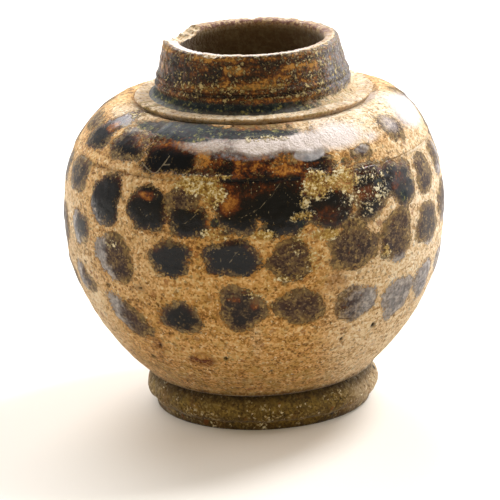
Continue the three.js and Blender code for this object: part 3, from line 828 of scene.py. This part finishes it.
def broken_rim(place, azimuth, fields):
    """Lowers the rim onto the broken surfaces of its chips, and marks the bare clay there."""
    rough = 0.22 * noise((azimuth, place[..., 0] * 2 + 60), 1.9, 1.6, 81)
    rough += 0.2 * noise((azimuth, place[..., 1] * 2 + 60), 1.1, 0.9, 82)
    bare = np.zeros(azimuth.shape)
    for centre, length, reach, depth, radius in RIM_LOSSES:
        turn = math.radians(centre)
        x = place[..., 0] - radius * math.sin(turn)
        y = place[..., 1] + radius * math.cos(turn)
        along = (x * math.cos(turn) + y * math.sin(turn)) * 2 / length
        across = (x * math.sin(turn) - y * math.cos(turn)) * 2 / reach
        span = along**2 + across**2
        bowl = np.sqrt(np.clip(1 - span * 0.75, 0, 1)) * 2 - 1
        floor = RIM_HEIGHT - depth * np.clip(bowl, 0, 1) + rough * min(1, depth)
        inside = (span < 1) & (bowl > 0) & (place[..., 2] > floor)
        place[..., 2] = np.where(inside, floor, place[..., 2])
        bare = np.maximum(bare, np.where(inside, 1.0, 0.0))
    fields["edge"] = np.where(bare > 0, -3, fields["edge"])
    for key in ("sheen", "inside", "stain", "crust", "teal"):
        fields[key] *= 1 - bare
    fields["pale"] = np.maximum(fields["pale"], 0.95 * bare)
    fields["groove"] = np.maximum(fields["groove"] * (1 - bare), 0.2 * bare * smooth(rough, -0.15, 0.1))
    return place, fields


# Materials


def shade(code):
    """Linear colour of an sRGB code such as #c39a63."""
    values = [int(code[i : i + 2], 16) / 255 for i in (1, 3, 5)]
    return [v / 12.92 if v <= 0.04045 else ((v + 0.055) / 1.055) ** 2.4 for v in values] + [1]


class Nodes:
    """A node tree, built a node at a time."""

    def __init__(self, tree):
        self.tree = tree

    def put(self, socket, value):
        """Feeds a socket from another one, or sets it to a number, a colour or a colour's code."""
        if isinstance(value, bpy.types.NodeSocket):
            self.tree.links.new(value, socket)
        else:
            socket.default_value = shade(value) if isinstance(value, str) else value

    def add(self, kind, inputs, output=0, **settings):
        """An output of a new node that has those settings and inputs."""
        node = self.tree.nodes.new("ShaderNode" + kind)
        for name, value in settings.items():
            setattr(node, name, value)
        for key, value in inputs.items():
            self.put(node.inputs[key], value)
        return node.outputs[output]

    def math(self, operation, *values):
        return self.add("Math", dict(enumerate(values)), operation=operation)

    def times(self, first, second):
        return self.math("MULTIPLY", first, second)

    def sum(self, *terms):
        """Sum of values, each alone or as a (value, factor) pair."""
        total = None
        for term in terms:
            value = self.times(*term) if isinstance(term, tuple) else term
            total = value if total is None else self.math("ADD", total, value)
        return total

    def step(self, value, low, high, start=0.0, end=1.0):
        """From start to end while value goes from low to high, smoothly."""
        inputs = dict(enumerate((value, low, high, start, end)))
        return self.add("MapRange", inputs, interpolation_type="SMOOTHSTEP")

    def mix(self, first, second, share):
        """A colour between two others."""
        return self.add("Mix", {"Factor": share, 6: first, 7: second}, 2, data_type="RGBA")

    def blend(self, first, second, share):
        """A number between two others."""
        return self.add("Mix", {"Factor": share, 2: first, 3: second})

    def ramp(self, value, stops):
        """The colour at a value, from (value, code) stops."""
        colour = self.add("ValToRGB", {0: value}, "Color")
        elements = colour.node.color_ramp.elements
        while len(elements) < len(stops):
            elements.new(0.5)
        for element, (place, code) in zip(elements, stops):
            element.position = place
            element.color = shade(code)
        return colour


class Surface(Nodes):
    """A material's nodes, with coordinates in mm."""

    def __init__(self, name):
        self.material = bpy.data.materials.new(name)
        self.material.use_nodes = True
        super().__init__(self.material.node_tree)
        self.tree.nodes.clear()
        self.mm = self.vector("SCALE", self.add("TexCoord", {}, "Object"), 1 / MM)

    def vector(self, operation, first, second):
        key = "Scale" if operation == "SCALE" else 1
        return self.add("VectorMath", {0: first, key: second}, operation=operation)

    def field(self, name):
        return self.add("Attribute", {}, "Fac", attribute_name=name)

    def noise(self, size, detail, where=None, shift=0.0, rough=0.5):
        """Noise whose blotches are about size mm wide."""
        inputs = {"Vector": where or self.mm, "W": shift, "Scale": 1 / size, "Detail": detail}
        return self.add("TexNoise", {**inputs, "Roughness": rough}, "Fac", noise_dimensions="4D")

    def cells(self, size):
        """Distance to the nearest of points strewn about size mm apart, as a share of size."""
        return self.add("TexVoronoi", {"Vector": self.mm, "Scale": 1 / size}, "Distance")

    def grains(self, size, where, shift=0.0):
        """A chance tone from 0 to 1 for each grain, about size mm wide."""
        where = self.vector("ADD", where, (shift, shift, shift))
        return self.add("TexVoronoi", {"Vector": where, "Scale": 1 / size}, "Color")

    def shaken(self, size, amount):
        """Coordinates stirred by noise, so that grains laid out in them have no straight edges."""
        stir = self.add("TexNoise", {"Vector": self.mm, "Scale": 1 / size}, "Color")
        return self.vector("ADD", self.mm, self.vector("SCALE", stir, amount))

    def finished(self, inputs):
        """The material, with those inputs on its shader."""
        shader = self.add("BsdfPrincipled", inputs, "BSDF")
        self.put(self.tree.nodes.new("ShaderNodeOutputMaterial").inputs["Surface"], shader)
        return self.material


class Stoneware(Surface):
    """A surface with the grains and blotches that clay and glaze share, each from 0 to 1."""

    def __init__(self, name):
        super().__init__(name)
        shaken = self.shaken(0.6, 0.5)
        self.fine = self.grains(0.34, shaken)
        self.other = self.grains(0.48, shaken, 7.3)
        self.coarse = self.grains(0.85, shaken, 21.7)
        self.grain = self.noise(0.42, 2, rough=0.6)
        self.grit = self.noise(0.9, 3, shift=3.1, rough=0.6)
        self.cloud = self.noise(6, 3, shift=1.7)
        self.blot = self.noise(2.1, 3, shift=8.2, rough=0.6)
        self.wheel = self.noise(0.7, 3, where=self.vector("MULTIPLY", self.mm, (0.12, 0.12, 1)), shift=5.3)


def clay_colour(s, clay_stops, olive_code):
    """Sandy clay with dark, rusty and cream grains, stains, pits, dirt and painted shade, and a glaze halo.
    """
    tone = s.sum((s.fine, 0.7), (s.coarse, 0.2), (s.grit, 0.65), (s.cloud, 0.4), (s.wheel, 0.62), -0.765)
    clay = s.ramp(tone, clay_stops)
    olive = s.times(s.field("olive"), s.step(s.sum(s.blot, (s.grit, 0.6)), 0.6, 1.0))
    clay = s.mix(clay, olive_code, s.times(olive, 0.7))
    clay = s.mix(clay, "#b59446", s.step(s.sum(s.blot, (s.fine, 0.3)), 0.62, 0.85, 0.0, 0.4))
    # Paler clay, partly painted light where the sides and tops are lit
    clay = s.mix(clay, s.ramp(tone, PALE_AND_LIT_CLAY), s.field("pale"))
    clay = s.mix(clay, "#43301b", s.step(s.other, 0.76, 0.86, 0.0, 0.45))
    clay = s.mix(clay, "#8a4a1e", s.step(s.coarse, 0.88, 0.92, 0.0, 0.6))
    clay = s.mix(clay, "#f2e4c6", s.step(s.fine, 0.86, 0.92, 0.0, 0.5))
    stain = s.times(s.field("stain"), s.step(s.sum(s.grit, (s.fine, 0.3)), 0.5, 0.72))
    clay = s.mix(clay, "#6b3413", s.times(stain, 0.85))
    # Painted shade in creases and recesses and under the ledge, mixed with dark dirt
    shade_and_dirt = s.times(s.field("groove"), s.step(s.grit, 0.25, 0.7, 1.0, 0.6))
    clay = s.mix(clay, "#33230f", shade_and_dirt)
    clay = s.mix(clay, "#1c140d", s.field("pit"))
    halo = s.step(s.sum(s.field("edge"), (s.other, 1.2)), 0.1, 0.4, 0.0, 0.12)
    return s.mix(clay, "#6d4a22", halo)


def glaze_colour(s, glaze_stops):
    """Amber glaze where thin, black where thick, with a matt purple-brown skin where it has weathered."""
    mottle = s.field("mottle")
    worn = s.field("worn")
    rim = s.step(s.field("edge"), 1.6, 0.2)
    stir = s.sum((s.grit, 1), (s.blot, 0.8), (s.grain, 0.8), (s.fine, 0.2), -1.4)
    thick = s.sum(s.field("tone"), (s.times(stir, mottle), 1.6), (stir, 0.5))
    glaze = s.ramp(thick, glaze_stops)
    crumble = s.sum((s.grit, 1.2), (s.grain, 0.7), (s.fine, 0.45), (s.blot, 1), (rim, 0.2), -1.25)
    skin = s.step(s.sum(worn, (rim, 0.3), (crumble, 0.45)), 0.5, 1.1, 0.0, 0.92)
    glaze = s.mix(glaze, s.ramp(crumble, MATT), skin)
    specks = s.sum((s.fine, 0.6), (s.grain, 0.6), (s.blot, 0.5), (rim, 0.3), (mottle, 0.35))
    glaze = s.mix(glaze, s.ramp(s.other, SPOTS), s.step(specks, 1.12, 1.4, 0.0, 0.75))
    bubbles = s.times(s.step(s.cells(0.95), 0.15, 0.09), s.step(thick, 0.95, 0.6, 0.0, 0.7))
    glaze = s.mix(glaze, "#c9b88c", bubbles)
    vein = s.step(s.sum(s.field("vein"), (s.grit, 0.2)), 0.26, 0.14, 0.0, 0.7)
    glaze = s.mix(glaze, "#a2947c", vein)
    # Pale blue-grey skin: partly dust, partly a painted reflection on the body's side and lower dabs
    dust = s.sum((s.other, 0.25), (s.grit, 0.6), (s.grain, 0.3), (s.field("dust"), 1.1))
    return s.mix(glaze, s.ramp(s.grit, DUST_AND_REFLECTION), s.step(dust, 0.8, 1.6, 0.0, 0.8))


def ceramic(name, clay_stops, olive_code, inside_code, glaze_stops, crumb_stops):
    """Weathered stoneware with iron glaze, drawn by the piece's own fields."""
    s = Stoneware(name)

    # Where the glaze lies, with its ragged outline and the specks round it, and a painted highlight over it
    ragged = s.sum(s.field("edge"), (s.grit, 1.4), (s.fine, 0.7), (s.blot, 1.2), -1.6)
    covered = s.step(ragged, -0.12, 0.12)
    # Painted highlight: a pale lavender-white sheen drawn into the colour
    sheen = s.field("sheen")
    painted_highlight = s.step(s.sum(sheen, (s.grit, 0.5), (s.fine, 0.25)), 0.5, 1.6, 0.0, 0.95)
    painted_highlight = s.times(painted_highlight, s.step(sheen, 0.0, 0.2))
    colour = s.mix(clay_colour(s, clay_stops, olive_code), glaze_colour(s, glaze_stops), covered)
    colour = s.mix(colour, "#f1e5e0", painted_highlight)

    # Blue-black pooling, and yellow-green crust
    teal = s.step(s.sum(s.field("teal"), (s.grit, 1.2), (s.fine, 0.4)), 1.0, 1.5)
    teal = s.times(teal, s.step(s.field("teal"), 0.0, 0.3))
    ash = s.ramp(s.sum((s.other, 0.45), (s.fine, 0.3), (s.blot, 0.5), (s.grit, 0.9), -0.6), TEAL_STOPS)
    colour = s.mix(colour, ash, s.times(teal, 0.92))
    crust = s.field("crust")
    crumbs = s.sum((crust, 0.7), (s.grit, 1.2), (s.blot, 0.9), (s.grain, 0.9), (s.fine, 0.6))
    crumbs = s.times(s.step(crumbs, 2.05, 2.45), s.step(crust, 0.02, 0.25))
    crumb_tone = s.sum((s.grit, 1.3), (s.grain, 0.9), (s.fine, 0.5), (s.blot, 0.8), -1.2)
    colour = s.mix(colour, s.ramp(crumb_tone, crumb_stops), s.times(crumbs, 0.92))
    inside = s.field("inside")
    lining = s.mix(inside_code, "#604a31", s.step(s.sum(s.grit, (s.blot, 0.7)), 0.6, 1.0))
    colour = s.mix(colour, lining, inside)

    # Gloss and fine relief
    glassy = s.math("MAXIMUM", s.times(covered, s.step(crumbs, 0.0, 0.6, 1.0, 0.2)), teal)
    glassy = s.times(glassy, s.step(sheen, 0.1, 0.8, 1.0, 0.35))
    skin = s.sum((s.field("mottle"), 0.25), (s.field("worn"), 0.25), (s.field("dust"), 0.15))
    polish = s.sum(skin, (s.grit, 0.3), (teal, 0.35), 0.05)
    shine = s.blend(0.88, polish, glassy)
    roughness = s.blend(shine, 0.9, inside)
    sandy = s.sum((s.grain, 0.9), (s.grit, 1.2), (s.wheel, 0.5))
    even = s.sum((s.blot, 0.35), (s.grain, 0.12))
    relief = s.sum(s.blend(sandy, even, glassy), (crumbs, 0.5))
    bump = {"Strength": 1.0, "Distance": BUMP_DEPTH * MM, "Height": relief}
    return s.finished(
        {
            "Base Color": colour,
            "Roughness": roughness,
            "IOR": 1.5,
            "Specular IOR Level": 0.22,
            "Sheen Weight": s.times(s.math("SUBTRACT", 1.0, glassy), 0.2),
            "Sheen Roughness": 0.4,
            "Normal": s.add("Bump", bump, "Normal"),
        }
    )


def stops(places, codes):
    return list(zip(places, codes.split()))


CLAY_PLACES = (0.14, 0.34, 0.5, 0.68, 0.9)
RINGED_CLAY_PLACES = (0.12, 0.36, 0.52, 0.7, 0.92)
GLAZE_PLACES = (0.02, 0.15, 0.3, 0.46, 0.64, 0.82, 1)
CRUMB_PLACES = (0.12, 0.3, 0.5, 0.68, 0.88)
BODY_CLAY = stops(CLAY_PLACES, "#714c27 #b48346 #d6a260 #e8be80 #f9dfad")
PALE_AND_LIT_CLAY = stops(CLAY_PLACES, "#9c7a4e #d4b285 #e8cea6 #f3e0c2 #fcf1de")
FOOT_CLAY = stops(RINGED_CLAY_PLACES, "#3c2f13 #604b24 #745c2b #88703a #aa9460")
NECK_CLAY = stops(RINGED_CLAY_PLACES, "#806040 #b4946c #ccb08a #dfcaaa #f0e4cf")
GLAZE = stops(GLAZE_PLACES, "#bb7f38 #975f27 #6b3616 #41200f #1e110d #110d0d #090a0d")
NECK_GLAZE = stops(GLAZE_PLACES, "#b68540 #94652b #6b3f1a #472811 #27190f #14100e #090a0d")
MATT = stops((0.1, 0.34, 0.54, 0.74, 0.94), "#1e1313 #412e28 #68533f #968058 #c4ae7c")
SPOTS = stops((0.2, 0.5, 0.8), "#3b2a1a #6f5530 #a98c55")
DUST_AND_REFLECTION = stops((0.3, 0.5, 0.72), "#898c93 #b2b1b6 #e4e0e4")
TEAL_STOPS = stops((0.2, 0.45, 0.58, 0.72, 0.9), "#0c1013 #19242a #2c3836 #6c6a3c #a89c60")
CRUMBS = stops(CRUMB_PLACES, "#1c1409 #604619 #a58138 #d2b46a #f7ecca")
NECK_CRUMBS = stops(CRUMB_PLACES, "#1c1409 #4a3716 #7d6029 #a68b49 #cfbb88")


def dress(piece, material, slot, *starts):
    """Gives a piece its material and its place in the frame, for the nodes whose names start so."""
    piece.data.materials.append(material)
    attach(piece, "root")
    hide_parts(*[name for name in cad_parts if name.startswith(starts)])


body = ceramic("body_clay_and_glaze", BODY_CLAY, "#8a7440", "#897048", GLAZE, CRUMBS)
dress(make_bowl(), body, "body_clay", "lower_bowl", "dab_b", "dab_c", "dab_d")
dress(make_shoulder(), body, "body_clay", "shoulder", "glaze_run", "dab_a")
foot = ceramic("foot_clay_worn", FOOT_CLAY, "#5f5430", "#b08d60", GLAZE, CRUMBS)
dress(make_foot(), foot, "foot_clay", "foot")
neck = ceramic("neck_clay_and_glaze", NECK_CLAY, "#6d6234", "#766549", NECK_GLAZE, NECK_CRUMBS)
dress(make_neck(), neck, "neck_clay", "neck")

# Floor

FLOOR_HALF = 2.5
FLOOR_TO_CAMERA = "#f8f2e8"
FLOOR_TO_LIGHT = "#c0b5a2"
FLOOR_LIFT = 0.015


def make_floor():
    """Plain white table that keeps the object's shadow."""
    mesh = bpy.data.meshes.new("floor")
    corners = [(-1, -1, 0), (1, -1, 0), (1, 1, 0), (-1, 1, 0)]
    mesh.from_pydata([(x * FLOOR_HALF, y * FLOOR_HALF, z) for x, y, z in corners], [], [(0, 1, 2, 3)])
    table = Surface("white_table")
    seen = 0.0
    for kind in ("Camera", "Glossy", "Transmission"):
        seen = table.math("MAXIMUM", seen, table.add("LightPath", {}, f"Is {kind} Ray"))
    inputs = {
        "Base Color": table.mix(FLOOR_TO_LIGHT, FLOOR_TO_CAMERA, seen),
        "Roughness": 0.9,
        "Emission Color": (1, 1, 1, 1),
        "Emission Strength": table.times(seen, FLOOR_LIFT),
    }
    mesh.materials.append(table.finished(inputs))
    added("floor", mesh)


make_floor()

# Light, placed in metres

AIM = Vector((0, 0, 0.03))
LAMP_COLOUR = (0.97, 0.99, 1.04)


def area_lamp(name, place, size, power, mirrored=True):
    lamp = bpy.data.lights.new(name, "AREA")
    lamp.shape = "DISK"
    lamp.size = size
    lamp.energy = power
    lamp.color = LAMP_COLOUR
    holder = added(name, lamp)
    holder.location = place
    holder.rotation_euler = (AIM - Vector(place)).to_track_quat("-Z", "Y").to_euler()
    holder.visible_glossy = mirrored


area_lamp("window_right", (0.52, 0.378, 0.796), 0.34, 9.2)
area_lamp("window_left", (-0.183, 0.732, 0.686), 0.75, 9.5)
area_lamp("soft_left", (-0.85, 0.5, 0.42), 1, 5.6, False)
area_lamp("soft_right", (0.9, 0.4, 0.45), 0.9, 5.5)

# The sky is brightest low down and at both sides, and warm in front, where it fills the shadow
SKY_IN_FRONT = (1.12, 0.95, 0.65, 1)
SKY_BEHIND = (1, 0.96, 0.92, 1)

world = bpy.data.worlds.new("studio")
scene.world = world
world.use_nodes = True
sky = Nodes(world.node_tree)
direction = sky.add("TexCoord", {}, "Generated")
x, y, z = (sky.add("SeparateXYZ", {0: direction}, axis) for axis in "XYZ")
low_sky = sky.step(z, -0.1, 0.75, 0.65, 0.31)
side_sky = sky.step(sky.math("ABSOLUTE", x), 0.5, 0.95, 0.0, 0.2)
side_sky = sky.times(side_sky, sky.step(z, 0.1, 0.8, 1.0, 0.2))
background = world.node_tree.nodes["Background"].inputs
sky.put(background["Strength"], sky.sum(low_sky, side_sky))
sky.put(background["Color"], sky.mix(SKY_IN_FRONT, SKY_BEHIND, sky.step(y, -0.9, 0.3)))

scene.view_settings.view_transform = "Standard"

# Camera: it looks down on the jar from the front, a little rolled

CAMERA_ELEVATION = math.radians(16.47)
CAMERA_ROLL = math.radians(2.43)
CAMERA_DISTANCE = 560
PIVOT = Vector((0, 0, 30.2))
LOOK_AT = Vector((-1.49, -0.945, 27))
SENSOR_WIDTH = 36
LENS = 230.4

camera_data = bpy.data.cameras.new("camera")
camera_data.sensor_width = SENSOR_WIDTH
camera_data.lens = LENS
camera = added("camera", camera_data)
scene.camera = camera
back = Vector((0, -math.cos(CAMERA_ELEVATION), math.sin(CAMERA_ELEVATION)))
place = PIVOT + back * CAMERA_DISTANCE
aimed = (LOOK_AT - place).to_track_quat("-Z", "Y").to_matrix().to_4x4()
camera.matrix_world = Matrix.Translation(place * MM) @ aimed @ Matrix.Rotation(-CAMERA_ROLL, 4, "Z")
